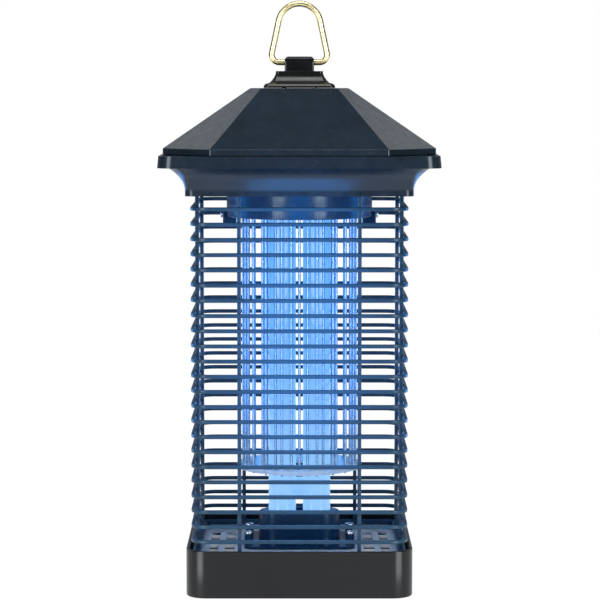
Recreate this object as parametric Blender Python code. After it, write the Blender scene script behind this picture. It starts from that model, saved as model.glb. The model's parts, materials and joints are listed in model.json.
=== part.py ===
"""Hanging lantern bug zapper: roofed head, barred guard, high-voltage grid round a twin-tube lamp, pull-off tray.

Units are metres, +Z is up and the front faces -Y. The origin is the middle of the tray's underside.
"""
import math

import bmesh
import bpy
from mathutils import Matrix, Vector

# Driving dimensions
GAP = 0.0003                 # clearance between parts that touch
WALL = 0.0020                # moulded wall thickness
TRAY_HALF = 0.0650
TRAY_TOP = 0.0272
GRATE_TOP = 0.0205
GRATE_HALF = 0.0626
GUARD_HALF = 0.0620
GUARD_CORNER = 0.0100
BAR = 0.0022                 # height of a guard bar and width of an upright
BAR_COUNT = 23
BAR_LOWEST = 0.0320
BAR_PITCH = 0.00865
UPRIGHT_X = 0.0342
CORNER_SCREW = 0.0573        # guard screws sit on the diagonals
BAND_HALF = 0.0646
BAND_BOTTOM = 0.2297
RIM_HALF = 0.0796
RIM_BOTTOM = 0.2459
RIM_TOP = 0.2526
BAND_CORNER = 0.0050         # radius of the upright corners of the head's band and cove
RIM_CORNER = 0.0088
EAVE_HALF = 0.0776
EAVE_FACE = 0.0500           # half width of a main roof face at the eave
FASCIA_TOP = 0.2563
RIDGE_HALF = 0.0286
RIDGE_FACE = 0.0221
RIDGE_Z = 0.2901
FINIAL_HALF = 0.0207
FINIAL_NECK = 0.0137
FINIAL_TOP = 0.3001
LUG_HALF = 0.0086
LUG_DEPTH = 0.0046
LUG_TOP = 0.3086
PIVOT_Z = 0.3052
RING_WIRE = 0.00178          # radius of the hanging ring's wire
RING_HALF = 0.0162           # centre line at the foot of the ring
RING_CROWN = 0.0124          # centre line radius of its crown
RING_TOP = 0.3393
HOOD_RADIUS = 0.0428
HOOD_BOTTOM = 0.2151
HANGER_IN = 0.0370           # inner end of a hanger clip
HANGER_LOW = 0.2106
HANGER_HIGH = 0.2187
PLATE_LOW = 0.2148           # the grid's upper insulator, just inside the hood
PLATE_HIGH = 0.2178
SCREW_TIP = 0.0350           # inner end of a hanger screw, short of the wire behind it
LIVE_RADIUS = 0.0304
RETURN_RADIUS = 0.0332
WIRES_PER_POLE = 20
WIRE = 0.0008                # radius of a grid wire
LOWER_RING_RADIUS = 0.0362
LOWER_RING_Z = 0.0663
TUBE_RADIUS = 0.00815
TUBE_X = 0.0102
TUBE_FOOT = 0.0270
TUBE_HEAD = 0.2160
PEDESTAL_HALF = 0.0240
PEDESTAL_DEPTH = 0.0120      # half of the cup, front to back
PEDESTAL_TOP = 0.0400
FLANGE_X = 0.0326
FLANGE_Y = 0.0247
POST_X = 0.0300
POST_Y = 0.0134
POST_TOP = 0.0297
HEAD_FLOOR = 0.2365          # top of the floor inside the head
BOARD_Z = 0.2480
GLAND_Z = 0.2412
CORNER_STEPS = 3

for leftover in list(bpy.data.objects):
    bpy.data.objects.remove(leftover, do_unlink=True)


def new_collection(name):
    collection = bpy.data.collections.new(name)
    bpy.context.scene.collection.children.link(collection)
    return collection


PARTS = new_collection("bug_zapper")
CUTTERS = new_collection("cutters")


def material(name, colour, roughness, metallic=0.0):
    made = bpy.data.materials.new(name)
    made.use_nodes = True
    shader = made.node_tree.nodes["Principled BSDF"]
    shader.inputs["Base Color"].default_value = (*colour, 1.0)
    shader.inputs["Roughness"].default_value = roughness
    shader.inputs["Metallic"].default_value = metallic
    return made


HOUSING = material("charcoal_plastic", (0.030, 0.034, 0.040), 0.38)
GUARD = material("guard_plastic", (0.028, 0.036, 0.044), 0.34)
INNER = material("inner_plastic", (0.035, 0.040, 0.050), 0.45)
GRATE = material("grate_plastic", (0.30, 0.31, 0.33), 0.30)
INSULATOR = material("clear_insulator", (0.82, 0.86, 0.90), 0.25)
GLASS = material("lamp_glass", (0.55, 0.74, 1.0), 0.10)
CAP = material("lamp_cap", (0.80, 0.80, 0.78), 0.45)
STEEL = material("steel_wire", (0.60, 0.61, 0.62), 0.28, 1.0)
SCREW = material("plated_steel", (0.66, 0.66, 0.68), 0.25, 1.0)
BRASS = material("pale_brass", (0.80, 0.68, 0.40), 0.22, 1.0)
BOARD = material("green_board", (0.05, 0.20, 0.09), 0.50)
BLOCK = material("dark_component", (0.02, 0.02, 0.025), 0.40)
YELLOW = material("wound_core", (0.55, 0.42, 0.10), 0.45)
RED = material("film_capacitor", (0.45, 0.07, 0.04), 0.40)
RUBBER = material("black_rubber", (0.015, 0.015, 0.015), 0.80)


def show(name, mesh, finish, collection=PARTS):
    """Put a finished bmesh or mesh into the scene as one named object."""
    if isinstance(mesh, bmesh.types.BMesh):
        data = bpy.data.meshes.new(name)
        mesh.to_mesh(data)
        mesh.free()
    else:
        data = mesh
    made = bpy.data.objects.new(name, data)
    collection.objects.link(made)
    if finish is not None and not data.materials:
        data.materials.append(finish)
    return made


def tool(name, mesh):
    """A shape that only cuts or joins others."""
    made = show(name, mesh, None, CUTTERS)
    made.hide_render = True
    made.display_type = "WIRE"
    return made


def combine(target, operand, operation):
    step = target.modifiers.new(operand.name, "BOOLEAN")
    step.operation = operation
    step.solver = "EXACT"
    step.object = operand
    return target


def baked(made):
    """The object's mesh with its modifiers worked in."""
    bpy.context.view_layer.update()
    seen = made.evaluated_get(bpy.context.evaluated_depsgraph_get())
    return bpy.data.meshes.new_from_object(seen)


def rounded_rectangle(half_x, half_y, radius, z, steps=CORNER_STEPS):
    """Counter-clockwise loop of a rectangle with round corners."""
    points = []
    for quarter, (side_x, side_y) in enumerate(((1, 1), (-1, 1), (-1, -1), (1, -1))):
        centre = Vector((side_x * (half_x - radius), side_y * (half_y - radius), z))
        for step in range(steps + 1):
            angle = (quarter + step / steps) * math.pi / 2
            points.append(centre + radius * Vector((math.cos(angle), math.sin(angle), 0.0)))
    return points


def square(half, radius, z):
    return rounded_rectangle(half, half, radius, z)


def circle(radius, z, sides, x=0.0, y=0.0):
    turn = 2 * math.pi / sides
    return [Vector((x + radius * math.cos(turn * i), y + radius * math.sin(turn * i), z)) for i in range(sides)]


def octagon(half, face, z):
    """Square with its corners cut off at 45 degrees; face is half the width left on each side."""
    corners = ((half, face), (face, half), (-face, half), (-half, face))
    loop = [Vector((x, y, z)) for x, y in corners]
    return loop + [Vector((-x, -y, z)) for x, y in corners]


def lofted(loops, ring=False, mesh=None):
    """Skin a run of loops of equal length. A ring joins the last to the first; otherwise both ends are capped."""
    mesh = mesh or bmesh.new()
    rows = [[mesh.verts.new(point) for point in loop] for loop in loops]
    pairs = list(zip(rows, rows[1:]))
    faces = []
    if ring:
        pairs.append((rows[-1], rows[0]))
    else:
        faces = [mesh.faces.new(rows[0]), mesh.faces.new(rows[-1])]
    for low, high in pairs:
        for i in range(len(low)):
            j = (i + 1) % len(low)
            faces.append(mesh.faces.new((low[i], low[j], high[j], high[i])))
    bmesh.ops.recalc_face_normals(mesh, faces=faces)
    return mesh


def turned(profile, spots, sides=12, mesh=None):
    """Upright turned solid of (radius, z) steps, repeated at each (x, y) spot."""
    mesh = mesh or bmesh.new()
    for x, y in spots:
        lofted([circle(radius, z, sides, x, y) for radius, z in profile], mesh=mesh)
    return mesh


def rods(radius, low, high, spots, sides=12, mesh=None):
    return turned(((radius, low), (radius, high)), spots, sides, mesh)


def block(size, centre, mesh=None):
    mesh = mesh or bmesh.new()
    place = Matrix.Translation(centre) @ Matrix.Diagonal((*size, 1.0))
    bmesh.ops.create_cube(mesh, size=1.0, matrix=place)
    return mesh


def four(x, y):
    return [(x, y), (-x, y), (-x, -y), (x, -y)]


def pair(x, y=0.0):
    return [(x, y), (-x, y)]


def fasteners(name, profile, spots, finish, sides=8):
    """Identical turned pieces, one object at each spot, sharing one mesh."""
    mesh = bpy.data.meshes.new(name)
    shape = turned(profile, [(0.0, 0.0)], sides)
    shape.to_mesh(mesh)
    shape.free()
    for number, (x, y) in enumerate(spots, 1):
        piece = show(f"{name}_{number}", mesh, finish)
        piece.location = (x, y, 0.0)


def laid_along(mesh, axis, z, quarters=1):
    """Turn upright shapes to lie along X or Y at height z."""
    turn = Matrix.Rotation(quarters * math.pi / 2, 3, "Y" if axis == "X" else "X")
    bmesh.ops.rotate(mesh, verts=mesh.verts, matrix=turn)
    bmesh.ops.translate(mesh, verts=mesh.verts, vec=(0.0, 0.0, z))
    return mesh


def around(radius, count, start=0.0):
    turn = 2 * math.pi / count
    return [(radius * math.cos(start + turn * i), radius * math.sin(start + turn * i)) for i in range(count)]


def collection_tray():
    """Open square tray with a rounded foot and four ribs that the grate sits on."""
    inner = TRAY_HALF - 0.0018
    shell = lofted([
        square(TRAY_HALF - 0.0024, 0.0096, 0.0),
        square(TRAY_HALF - 0.0007, 0.0113, 0.0007),
        square(TRAY_HALF, 0.0120, 0.0024),
        square(TRAY_HALF, 0.0120, TRAY_TOP - 0.0004),
        square(TRAY_HALF - 0.0004, 0.0116, TRAY_TOP),
        square(inner + 0.0003, 0.0105, TRAY_TOP),
        square(inner, 0.0102, TRAY_TOP - 0.0003),
        square(inner, 0.0102, 0.0040),
        square(inner - 0.0014, 0.0088, WALL),
    ])
    tray = show("collection_tray", shell, HOUSING)
    rib_top = GRATE_TOP - WALL - GAP
    rib_depth = 0.0045
    ribs = bmesh.new()
    for side_x, side_y in four(1, 1):
        centre = (side_x * (inner - 0.0017), side_y * 0.0220, (rib_top + 0.0010) / 2)
        block((rib_depth, 0.0030, rib_top - 0.0010), centre, ribs)
    combine(tray, tool("tray_ribs", ribs), "UNION")


def slot_ring(outer, inner, low, high):
    """Frame-shaped cutter between two rounded rectangles given as (half x, half y, corner)."""
    loops = [rounded_rectangle(*outer, low), rounded_rectangle(*outer, high)]
    loops += [rounded_rectangle(*inner, high), rounded_rectangle(*inner, low)]
    return lofted(loops, ring=True)


def floor_grate():
    """Plate with two rings of slots round the pedestal, bridged by cross ribs, held up inside the tray."""
    low = GRATE_TOP - WALL
    plate = lofted([square(GRATE_HALF, 0.0096, low), square(GRATE_HALF, 0.0096, GRATE_TOP)])
    grate = show("floor_grate", plate, GRATE)
    reach = 0.0010
    outer = slot_ring((0.0532, 0.0435, 0.0140), (0.0478, 0.0385, 0.0100), low - reach, GRATE_TOP + reach)
    inner = slot_ring((0.0442, 0.0345, 0.0070), (0.0380, 0.0290, 0.0050), low - reach, GRATE_TOP + reach)
    bridges = bmesh.new()
    for y in (-0.0223, -0.0073, 0.0073, 0.0223):
        block((0.1300, 0.0016, 0.0100), (0.0, y, GRATE_TOP), bridges)
    for x in (-0.0150, 0.0150):
        block((0.0016, 0.1300, 0.0100), (x, 0.0, GRATE_TOP), bridges)
    bridge_tool = tool("grate_bridges", bridges)
    for name, shape in (("grate_outer_slots", outer), ("grate_inner_slots", inner)):
        cutter = tool(name, shape)
        combine(cutter, bridge_tool, "DIFFERENCE")
        combine(grate, cutter, "DIFFERENCE")
    spots = four(CORNER_SCREW, CORNER_SCREW) + four(POST_X, POST_Y)
    holes = rods(0.0018, low - reach, GRATE_TOP + reach, spots, 8)
    combine(grate, tool("grate_screw_holes", holes), "DIFFERENCE")


def lamp_pedestal():
    """Round-ended cup over the foot of the lamp, with a flange and four screw sleeves."""
    low = GRATE_TOP + GAP
    flange_top = low + 0.0018
    cavity = (PEDESTAL_HALF - WALL, PEDESTAL_DEPTH - WALL, 0.0092)
    cup = lofted([
        rounded_rectangle(*cavity, PEDESTAL_TOP - WALL),
        rounded_rectangle(*cavity, low),
        rounded_rectangle(FLANGE_X, FLANGE_Y, 0.0060, low),
        rounded_rectangle(FLANGE_X, FLANGE_Y, 0.0060, flange_top),
        rounded_rectangle(PEDESTAL_HALF, PEDESTAL_DEPTH, 0.0112, flange_top),
        rounded_rectangle(PEDESTAL_HALF, PEDESTAL_DEPTH, 0.0112, PEDESTAL_TOP - 0.0012),
        rounded_rectangle(PEDESTAL_HALF - 0.0012, PEDESTAL_DEPTH - 0.0012, 0.0100, PEDESTAL_TOP),
    ])
    pedestal = show("lamp_pedestal", cup, INNER)
    sleeves = rods(0.0024, low + 0.0004, POST_TOP - 0.0018, four(POST_X - 0.0001, POST_Y), 12)
    combine(pedestal, tool("pedestal_sleeves", sleeves), "UNION")
    bores = rods(0.0018, low - 0.0010, POST_TOP, four(POST_X, POST_Y), 10)
    combine(pedestal, tool("pedestal_bores", bores), "DIFFERENCE")
    mouth = lofted([rounded_rectangle(TUBE_X + 0.0088, 0.0088, 0.0086, z) for z in (0.0360, 0.0450)])
    combine(pedestal, tool("pedestal_mouth", mouth), "DIFFERENCE")


def pedestal_screws():
    """Four pan-head screws that hold the pedestal down on the grate."""
    head = POST_TOP - 0.0015
    profile = ((0.0014, 0.0155), (0.0014, head), (0.0027, head), (0.0027, POST_TOP - 0.0004), (0.0022, POST_TOP))
    fasteners("pedestal_screw", profile, four(POST_X, POST_Y), SCREW, 10)


def guard_outline(half, corner, depth):
    """Plan of one side of a guard ring, from the middle of one round corner to the middle of the next."""
    steps = 2
    stop = math.radians(43.6)
    centre = half - corner
    outer = []
    inner = []
    for i in range(steps + 1):
        angle = stop * i / steps
        side = Vector((math.sin(angle), -math.cos(angle), 0.0))
        hub = Vector((centre, -centre, 0.0))
        outer.append(hub + corner * side)
        inner.append(hub + (corner - depth) * side)
    right = outer + inner[::-1]
    left = [Vector((-point.x, point.y, 0.0)) for point in right[::-1]]
    return left + right


def guard_mesh():
    """Bars, bottom rail and top rail of one side, joined by two uprights that stand just inside them."""
    bars = bmesh.new()
    levels = [BAR_LOWEST + BAR_PITCH * i for i in range(BAR_COUNT)]
    spans = [(z - BAR / 2, z + BAR / 2, 0.0024) for z in levels]
    spans.append((GRATE_TOP + GAP, GRATE_TOP + 0.0031, 0.0050))
    spans.append((BAND_BOTTOM + 0.0004, BAND_BOTTOM + 0.0032, 0.0046))
    for low, high, depth in spans:
        outline = guard_outline(GUARD_HALF, GUARD_CORNER, depth)
        lofted([[point + Vector((0, 0, z)) for point in outline] for z in (low, high)], mesh=bars)
    side = show("guard_side", bars, GUARD)
    uprights = bmesh.new()
    low = GRATE_TOP + 0.0012
    high = BAND_BOTTOM + 0.0022
    for x in (-UPRIGHT_X, UPRIGHT_X):
        block((BAR, 0.0023, high - low), (x, -GUARD_HALF + 0.0031, (low + high) / 2), uprights)
    combine(side, tool("guard_uprights", uprights), "UNION")
    corners = [(-CORNER_SCREW, -CORNER_SCREW), (CORNER_SCREW, -CORNER_SCREW)]
    bores = rods(0.0016, GRATE_TOP - 0.0020, GRATE_TOP + 0.0024, corners, 8)
    combine(side, tool("guard_bores", bores), "DIFFERENCE")
    mesh = baked(side)
    bpy.data.objects.remove(side, do_unlink=True)
    return mesh


def guard():
    mesh = guard_mesh()
    for quarter, name in enumerate(("guard_front", "guard_right", "guard_rear", "guard_left")):
        side = show(name, mesh, GUARD)
        side.rotation_euler.z = quarter * math.pi / 2


def guard_screws():
    """Screws from under the grate into the corners of the guard's bottom rails."""
    low = GRATE_TOP - WALL - GAP
    tip = GRATE_TOP + 0.0021
    profile = ((0.0018, low - 0.0013), (0.0028, low - 0.0010), (0.0028, low), (0.0013, low), (0.0013, tip))
    fasteners("guard_screw", profile, four(CORNER_SCREW, CORNER_SCREW), SCREW)


def head_cornice():
    """Moulded head ring: upright band, cove, projecting rim, and a floor with the lamp socket's opening."""
    cove_bottom = 0.2320
    cove_reach = 0.0090
    cove_steps = 5
    loops = [square(BAND_HALF, BAND_CORNER, BAND_BOTTOM)]
    for i in range(cove_steps + 1):
        share = i / cove_steps
        half = BAND_HALF + cove_reach * share ** 2.2
        loops.append(square(half, BAND_CORNER, cove_bottom + (RIM_BOTTOM - cove_bottom) * share))
    opening = (0.0225, 0.0135, 0.0060)
    floor_bottom = HEAD_FLOOR - 0.0025
    loops += [
        square(RIM_HALF, RIM_CORNER, RIM_BOTTOM),
        square(RIM_HALF - 0.0006, RIM_CORNER, RIM_TOP),
        square(0.0655, 0.0240, RIM_TOP),
        square(0.0655, 0.0240, RIM_TOP - WALL),
        square(0.0745, 0.0050, RIM_TOP - WALL),
        square(0.0745, 0.0050, 0.2485),
        square(0.0702, 0.0040, 0.2480),
        square(0.0672, 0.0040, 0.2440),
        square(0.0642, 0.0040, 0.2400),
        square(0.0630, 0.0040, HEAD_FLOOR),
        rounded_rectangle(*opening, HEAD_FLOOR),
        rounded_rectangle(*opening, floor_bottom),
        square(BAND_HALF - WALL, 0.0034, floor_bottom),
        square(BAND_HALF - WALL, 0.0034, BAND_BOTTOM),
    ]
    cornice = show("head_cornice", lofted(loops, ring=True), HOUSING)
    standoffs = rods(0.0032, HEAD_FLOOR - 0.0010, BOARD_Z - 0.0008 - GAP, four(0.0370, 0.0280), 10)
    combine(cornice, tool("board_standoffs", standoffs), "UNION")
    holes = rods(0.0018, floor_bottom - 0.0010, HEAD_FLOOR + 0.0010, four(0.0480, 0.0480), 10)
    combine(cornice, tool("cornice_screw_holes", holes), "DIFFERENCE")
    gland_hole = laid_along(rods(0.0035, -0.0790, -0.0580, [(0.0, 0.0)], 16), "Y", GLAND_Z)
    combine(cornice, tool("gland_hole", gland_hole), "DIFFERENCE")


def cord_gland():
    """Rubber bush in the back of the head where the supply cord enters."""
    profile = (
        (0.0040, -0.0757), (0.0044, -0.0753), (0.0044, -0.0731), (0.0032, -0.0731), (0.0032, -0.0622),
        (0.0039, -0.0622), (0.0036, -0.0598), (0.0018, -0.0598), (0.0018, -0.0757),
    )
    bush = lofted([circle(radius, height, 16) for radius, height in profile], ring=True)
    show("cord_gland", laid_along(bush, "Y", GLAND_Z), RUBBER)


def roof_cover():
    """Four main slopes and four corner slopes over an upright eave, hollow, with four screw bosses."""
    foot = RIM_TOP + GAP
    outside = lofted([
        octagon(EAVE_HALF, EAVE_FACE, foot),
        octagon(EAVE_HALF, EAVE_FACE, FASCIA_TOP),
        octagon(RIDGE_HALF, RIDGE_FACE, RIDGE_Z),
    ])
    roof = show("roof_cover", outside, HOUSING)
    thick = 0.0022
    hollow = tool("roof_hollow", lofted([
        octagon(EAVE_HALF - thick, EAVE_FACE - 0.0010, foot - 0.0030),
        octagon(EAVE_HALF - thick, EAVE_FACE - 0.0010, FASCIA_TOP - 0.0012),
        octagon(RIDGE_HALF - 0.0006, RIDGE_FACE - 0.0004, RIDGE_Z - 0.0024),
    ]))
    bosses = tool("roof_bosses", rods(0.0040, foot - 0.0060, RIDGE_Z, four(0.0480, 0.0480), 12))
    combine(hollow, bosses, "DIFFERENCE")
    combine(roof, hollow, "DIFFERENCE")
    bores = tool("roof_bores", rods(0.0017, foot - 0.0080, 0.2620, four(0.0480, 0.0480), 10))
    combine(roof, bores, "DIFFERENCE")
    finial_holes = tool("finial_screw_holes", rods(0.0020, 0.2800, 0.2950, pair(0.0090), 10))
    combine(roof, finial_holes, "DIFFERENCE")


def roof_screws():
    """Long screws from under the head's floor up into the roof's bosses."""
    seat = HEAD_FLOOR - 0.0025 - GAP
    profile = ((0.0022, seat - 0.0016), (0.0030, seat - 0.0012), (0.0030, seat), (0.0013, seat), (0.0013, 0.2600))
    fasteners("roof_screw", profile, four(0.0480, 0.0480), SCREW)


def finial():
    """Square plinth with a hollowed side and a lug on top that carries the hanging ring."""
    foot = RIDGE_Z + GAP
    cove_bottom = 0.2934
    cove_top = 0.2992
    loops = [
        square(FINIAL_HALF - 0.0004, 0.0026, foot),
        square(FINIAL_HALF, 0.0030, foot + 0.0005),
        square(FINIAL_HALF, 0.0030, foot + 0.0010),
        square(FINIAL_HALF - 0.0008, 0.0030, foot + 0.0022),
    ]
    steps = 3
    for i in range(steps + 1):
        share = i / steps
        half = FINIAL_NECK + 0.0036 * (1 - share) ** 1.6
        loops.append(square(half, 0.0020, cove_bottom + (cove_top - cove_bottom) * share))
    loops.append(square(FINIAL_NECK, 0.0020, FINIAL_TOP - 0.0003))
    loops.append(square(FINIAL_NECK - 0.0004, 0.0016, FINIAL_TOP))
    plinth = show("finial", lofted(loops), HOUSING)
    low = FINIAL_TOP - 0.0020
    corner = 0.0022
    ease = corner * 0.3
    right = [(LUG_HALF, low), (LUG_HALF, LUG_TOP - corner), (LUG_HALF - ease, LUG_TOP - ease)]
    right.append((LUG_HALF - corner, LUG_TOP))
    outline = right + [(-x, z) for x, z in right[::-1]]
    lug = lofted([[Vector((x, y, z)) for x, z in outline] for y in (-LUG_DEPTH, LUG_DEPTH)])
    combine(plinth, tool("finial_lug", lug), "UNION")
    eye = laid_along(rods(RING_WIRE + GAP, -0.0200, 0.0200, [(0.0, 0.0)], 16), "X", PIVOT_Z)
    combine(plinth, tool("finial_eye", eye), "DIFFERENCE")
    bores = rods(0.0016, foot - 0.0010, 0.2980, pair(0.0090), 10)
    combine(plinth, tool("finial_bores", bores), "DIFFERENCE")


def finial_screws():
    seat = RIDGE_Z - 0.0024 - GAP
    profile = ((0.0024, seat - 0.0018), (0.0031, seat - 0.0013), (0.0031, seat), (0.0012, seat), (0.0012, 0.2970))
    fasteners("finial_screw", profile, pair(0.0090), SCREW)


def ring_route():
    """Centre line of the hanging ring: straight foot, two tight bends, tapering sides and a round crown."""
    bend = 0.0045
    crown_z = RING_TOP - RING_CROWN
    lean = math.atan2(RING_HALF - RING_CROWN, crown_z - PIVOT_Z)
    half = []
    bend_steps = 5
    for i in range(bend_steps + 1):
        angle = -math.pi / 2 + (math.pi / 2 + lean) * i / bend_steps
        half.append((RING_HALF - bend + bend * math.cos(angle), PIVOT_Z + bend + bend * math.sin(angle)))
    crown_steps = 7
    for i in range(crown_steps + 1):
        angle = lean + (math.pi / 2 - lean) * i / crown_steps
        half.append((RING_CROWN * math.cos(angle), crown_z + RING_CROWN * math.sin(angle)))
    return half + [(-x, z) for x, z in half[-2::-1]]


def hanging_ring():
    """Closed wire ring that swings in the lug. Its origin is on the swing axis."""
    curve = bpy.data.curves.new("hanging_ring", "CURVE")
    curve.dimensions = "3D"
    curve.bevel_depth = RING_WIRE
    curve.bevel_resolution = 2
    curve.use_fill_caps = True
    spline = curve.splines.new("POLY")
    route = ring_route()
    spline.points.add(len(route) - 1)
    for point, (x, z) in zip(spline.points, route):
        point.co = (x, 0.0, z - PIVOT_Z, 1.0)
    spline.use_cyclic_u = True
    curve.materials.append(BRASS)
    ring = bpy.data.objects.new("hanging_ring", curve)
    ring.location.z = PIVOT_Z
    PARTS.objects.link(ring)


def lamp_hood():
    """Round hood under the head that covers the lamp's cap and the top of the grid."""
    top = HEAD_FLOOR - 0.0025 - GAP
    sides = 36
    wall = HOOD_RADIUS - WALL
    loops = [
        circle(HOOD_RADIUS, HOOD_BOTTOM, sides),
        circle(HOOD_RADIUS, top, sides),
        circle(0.0270, top, sides),
        circle(0.0270, top - WALL, sides),
        circle(wall, top - WALL, sides),
        circle(wall, HOOD_BOTTOM, sides),
    ]
    hood = show("lamp_hood", lofted(loops, ring=True), INNER)
    notches = block((0.1000, 0.0094, 2 * (HANGER_HIGH + GAP - HOOD_BOTTOM)), (0.0, 0.0, HOOD_BOTTOM))
    combine(hood, tool("hood_notches", notches), "DIFFERENCE")


def grid_hangers():
    """Two clips in the sides of the hood that carry the grid's upper insulator, each with a cross screw."""
    z = (PLATE_LOW + PLATE_HIGH) / 2
    reach_in = HANGER_IN
    reach_out = HOOD_RADIUS + 0.0022
    bore = tool("hanger_bores", laid_along(rods(0.0014, -0.0600, 0.0600, [(0.0, 0.0)], 10), "X", z))
    for side, word in ((-1, "left"), (1, "right")):
        middle = side * (reach_in + reach_out) / 2
        place = (middle, 0.0, (HANGER_LOW + HANGER_HIGH) / 2)
        clip = block((reach_out - reach_in, 0.0086, HANGER_HIGH - HANGER_LOW), place)
        combine(show("grid_hanger_" + word, clip, INNER), bore, "DIFFERENCE")
    start = reach_out + GAP
    profile = ((0.0010, SCREW_TIP), (0.0010, start), (0.0021, start), (0.0021, start + 0.0009), (0.0016, start + 0.0012))
    screw = lofted([circle(radius, height, 10) for radius, height in profile])
    mesh = bpy.data.meshes.new("hanger_screw")
    laid_along(screw, "X", 0.0).to_mesh(mesh)
    screw.free()
    for turn, word in ((math.pi, "left"), (0.0, "right")):
        piece = show("hanger_screw_" + word, mesh, SCREW)
        piece.location.z = z
        piece.rotation_euler.z = turn


def wire_spots(radius, pole):
    """One wire of the outer pole stands in the middle of each side; the inner pole's stand between them."""
    return around(radius, WIRES_PER_POLE, math.pi / WIRES_PER_POLE * pole)


def grid_insulator(name, radius, low, high, finish, side_bores):
    """Disc with a hole for the lamp and one for each grid wire."""
    sides = 32
    disc = show(name, lofted([circle(radius, low, sides), circle(radius, high, sides)]), finish)
    window = lofted([rounded_rectangle(0.0215, 0.0115, 0.0110, z) for z in (low - 0.0010, high + 0.0010)])
    combine(disc, tool(name + "_window", window), "DIFFERENCE")
    holes = rods(WIRE + 0.0004, low - 0.0010, high + 0.0010, wire_spots(LIVE_RADIUS, 1), 6)
    rods(WIRE + 0.0004, low - 0.0010, high + 0.0010, wire_spots(RETURN_RADIUS, 0), 6, holes)
    combine(disc, tool(name + "_holes", holes), "DIFFERENCE")
    if side_bores:
        bores = rods(0.0013, SCREW_TIP - GAP, radius + 0.0010, [(0.0, 0.0)], 8)
        rods(0.0013, -radius - 0.0010, -SCREW_TIP + GAP, [(0.0, 0.0)], 8, bores)
        combine(disc, tool(name + "_side_bores", laid_along(bores, "X", (low + high) / 2)), "DIFFERENCE")


def grid_pole(name, ring_radius, wire_radius, pole, ring_low):
    """One pole of the grid: a contact ring with twenty wires welded to it, hanging through both insulators."""
    half_width = 0.0018
    thick = 0.0010
    sides = 30
    loops = [
        circle(ring_radius + half_width, ring_low, sides),
        circle(ring_radius + half_width, ring_low + thick, sides),
        circle(ring_radius - half_width, ring_low + thick, sides),
        circle(ring_radius - half_width, ring_low, sides),
    ]
    ring = show(name, lofted(loops, ring=True), STEEL)
    wires = rods(WIRE, LOWER_RING_Z - 0.0012, ring_low + thick / 2, wire_spots(wire_radius, pole), 6)
    combine(ring, tool(name + "_wires", wires), "UNION")


def lamp():
    """Twin-tube lamp: glass tubes bridged near their closed ends, moulded cap and two contact pins."""
    glass = bmesh.new()
    profile = ((0.0032, TUBE_FOOT), (0.0066, TUBE_FOOT + 0.0016), (TUBE_RADIUS, TUBE_FOOT + 0.0050))
    profile += ((TUBE_RADIUS, TUBE_HEAD),)
    turned(profile, [(-TUBE_X, 0.0), (TUBE_X, 0.0)], 20, glass)
    tubes = show("lamp_tubes", glass, GLASS)
    bridge = laid_along(rods(0.0034, -TUBE_X, TUBE_X, [(0.0, 0.0)], 12), "X", 0.0350)
    combine(tubes, tool("lamp_bridge", bridge), "UNION")
    cap_low = TUBE_HEAD + GAP
    cap = lofted([
        rounded_rectangle(0.0205, 0.0103, 0.0100, cap_low),
        rounded_rectangle(0.0205, 0.0103, 0.0100, 0.2262),
        rounded_rectangle(0.0180, 0.0085, 0.0060, 0.2266),
        rounded_rectangle(0.0180, 0.0085, 0.0060, 0.2290),
    ])
    show("lamp_cap", cap, CAP)
    fasteners("lamp_pin", ((0.0012, 0.2293), (0.0012, 0.2345), (0.0007, 0.2353)), pair(0.0115), BRASS)


def lamp_socket():
    """Push-in socket that drops through the head's floor and is screwed down by its flange."""
    flange_low = HEAD_FLOOR + GAP
    body = lofted([
        rounded_rectangle(0.0215, 0.0125, 0.0050, 0.2296),
        rounded_rectangle(0.0215, 0.0125, 0.0050, flange_low),
        rounded_rectangle(0.0320, 0.0150, 0.0030, flange_low),
        rounded_rectangle(0.0320, 0.0150, 0.0030, flange_low + 0.0018),
        rounded_rectangle(0.0190, 0.0110, 0.0040, flange_low + 0.0018),
        rounded_rectangle(0.0190, 0.0110, 0.0040, 0.2430),
    ])
    socket = show("lamp_socket", body, CAP)
    holes = rods(0.0016, 0.2280, 0.2362, pair(0.0115), 10)
    rods(0.0018, flange_low - 0.0010, flange_low + 0.0030, pair(0.0270), 10, holes)
    combine(socket, tool("socket_holes", holes), "DIFFERENCE")
    seat = flange_low + 0.0018 + GAP
    profile = ((0.0013, flange_low), (0.0013, seat), (0.0026, seat), (0.0026, seat + 0.0010), (0.0020, seat + 0.0014))
    fasteners("socket_screw", profile, pair(0.0270), SCREW)


def circuit_board():
    """Driver board on four standoffs, with the parts that make the high voltage and run the lamp."""
    thick = 0.0016
    low = BOARD_Z - thick / 2
    board = show("circuit_board", block((0.0860, 0.0660, thick), (0.0, 0.0, BOARD_Z)), BOARD)
    holes = rods(0.0016, low - 0.0010, low + thick + 0.0010, four(0.0370, 0.0280), 10)
    combine(board, tool("board_holes", holes), "DIFFERENCE")
    top = low + thick + GAP
    seat_profile = ((0.0012, low), (0.0012, top), (0.0026, top), (0.0026, top + 0.0012))
    fasteners("board_screw", seat_profile, four(0.0370, 0.0280), SCREW)
    show("transformer", block((0.0240, 0.0200, 0.0180), (0.0, 0.0090, top + 0.0090)), YELLOW)
    show("lamp_choke", block((0.0160, 0.0140, 0.0130), (0.0, -0.0130, top + 0.0065)), BLOCK)
    for side, word in ((-1, "left"), (1, "right")):
        film = block((0.0060, 0.0150, 0.0110), (side * 0.0220, 0.0090, top + 0.0055))
        show("film_capacitor_" + word, film, RED)
    fasteners("smoothing_capacitor", ((0.0044, top), (0.0044, top + 0.0160)), pair(0.0170, -0.0150), BLOCK, 12)
    show("supply_terminals", block((0.0180, 0.0080, 0.0100), (0.0, 0.0275, top + 0.0050)), CAP)


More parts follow.
